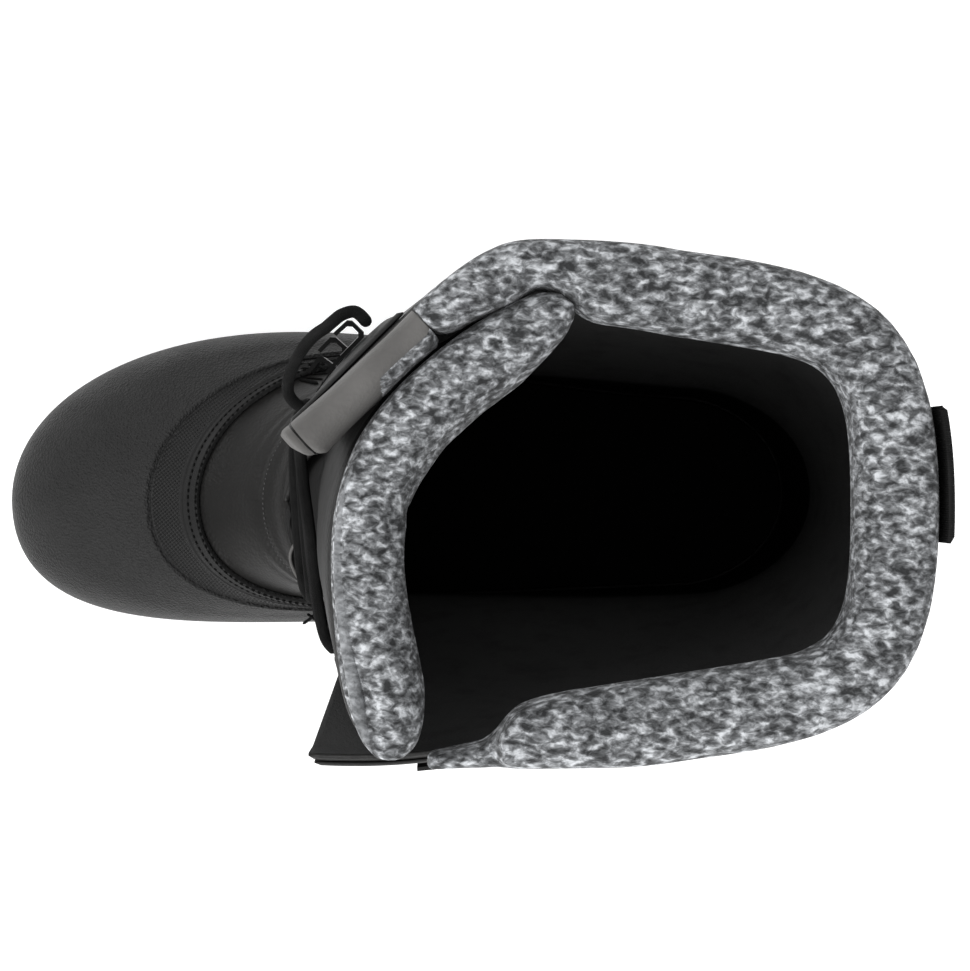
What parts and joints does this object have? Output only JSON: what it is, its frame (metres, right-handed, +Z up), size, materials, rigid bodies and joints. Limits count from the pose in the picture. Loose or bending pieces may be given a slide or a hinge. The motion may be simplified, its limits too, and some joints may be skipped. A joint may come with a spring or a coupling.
{
  "type": "snow boot",
  "caption": "Right winter boot with a rubber foot shell, lugged sole, hollow leather shaft, padded knit collar and tongue, and open lacing.",
  "frame": {"origin": "middle of the boot's bounding box in plan, on the floor", "axes": "toe towards -X, heel towards +X, outer side of the foot towards +Y, +Z up"},
  "size_m": [0.3, 0.1511, 0.268],
  "materials": {
    "sole_rubber": "matt moulded rubber",
    "shell_rubber": "matt pebbled rubber",
    "leather": "smooth black leather",
    "facing_leather": "smooth padded grey-black leather",
    "knit": "grey marl knit over padding",
    "webbing": "black woven tape",
    "lace": "round black braided lace",
    "lining": "black insole felt",
    "metal": "gunmetal wire",
    "black_metal": "black enamelled hook"
  },
  "bodies": {
    "root": {"outsole": "sole_rubber", "insole": "lining", "upper": "leather", "rubber_shell": "shell_rubber", "tongue": "knit", "collar": "knit", "collar_facing": "facing_leather", "lace_crossings": "lace", "lace_end_lateral": "lace", "lace_end_medial": "lace", "backstay": "leather", "pull_tab": "webbing", "eyestay_lateral": "leather", "eyestay_medial": "leather", "lace_ring_lateral_low": "metal", "lace_ring_lateral_high": "metal", "lace_ring_medial_low": "metal", "lace_ring_medial_high": "metal", "ring_clip_lateral_low": "leather", "ring_clip_lateral_high": "leather", "ring_clip_medial_low": "leather", "ring_clip_medial_high": "leather", "lace_hook_lateral_low": "black_metal", "lace_hook_lateral_middle": "black_metal", "lace_hook_lateral_top": "black_metal", "lace_hook_medial_low": "black_metal", "lace_hook_medial_middle": "black_metal", "lace_hook_medial_top": "black_metal"}
  },
  "joints": []
}
